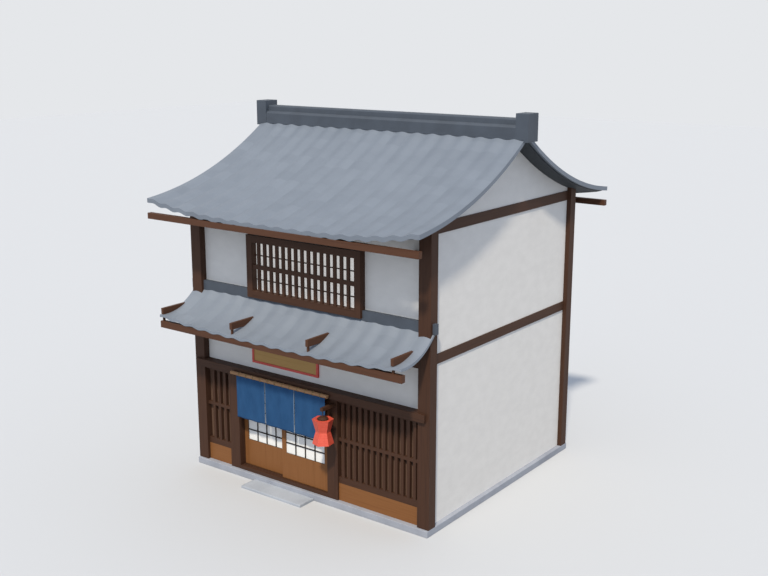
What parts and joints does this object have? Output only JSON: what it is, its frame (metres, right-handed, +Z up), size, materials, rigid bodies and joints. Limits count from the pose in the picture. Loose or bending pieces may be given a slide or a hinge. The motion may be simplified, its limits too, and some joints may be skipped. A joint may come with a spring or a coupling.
{
  "type": "machiya townhouse",
  "caption": "Timber townhouse with a hollow-curved tiled roof, a pent roof over the ground floor, lattice bays, a door curtain and sliding doors.",
  "frame": {"origin": "on the ground under the middle of the house's box", "axes": "+Z up, -Y towards the street front, +X to the right seen from the street"},
  "size_m": [6.22, 6.5, 6.91],
  "materials": {
    "stone": "honed",
    "timber": "oiled",
    "door_wood": "oiled",
    "plaster": "lime plaster",
    "tile": "matte",
    "ridge_tile": "matte",
    "paper": "matte",
    "cloth": "woven",
    "pole": "satin",
    "sign_face": "satin",
    "sign_edge": "painted",
    "lantern_paper": "matte"
  },
  "bodies": {
    "house": {"foundation": "stone", "doorstep": "stone", "corner_posts": "timber", "side_walls": "plaster", "gable_walls": "plaster", "side_rails": "timber", "floor_girders": "timber", "floor_beam": "timber", "upper_floor": "timber", "wall_plates": "timber", "rear_walls": "plaster", "front_wall_band": "plaster", "front_wall_upper": "plaster", "roof_beams": "timber", "eave_beams": "timber", "eave_struts": "timber", "roof_front": "tile", "roof_rear": "tile", "ridge": "ridge_tile", "ridge_ends": "ridge_tile", "pent_roof": "tile", "pent_eave_beam": "timber", "pent_arms": "timber", "pent_flashing": "ridge_tile", "window_frame": "timber", "window_bars": "timber", "window_paper": "paper", "door_sill": "timber", "lintel": "timber", "door_posts": "timber", "lattice_left": "timber", "lattice_right": "timber", "base_boards": "door_wood", "lattice_backing": "timber", "curtain_rod": "pole", "rod_hooks": "timber", "door_curtain": "cloth", "sign_board": "sign_face", "sign_frame": "sign_edge", "lantern": "lantern_paper", "lantern_cap": "timber", "lantern_bracket": "timber"},
    "left_door": {"door_left": "door_wood", "door_left_panes": "paper"},
    "right_door": {"door_right": "door_wood", "door_right_panes": "paper"}
  },
  "joints": [
    {"name": "left_door_slide", "type": "slide", "parent": "house", "child": "left_door", "axis": [1, 0, 0], "range_m": [0, 1.02]},
    {"name": "right_door_slide", "type": "slide", "parent": "house", "child": "right_door", "axis": [-1, 0, 0], "range_m": [0, 1.02]}
  ]
}
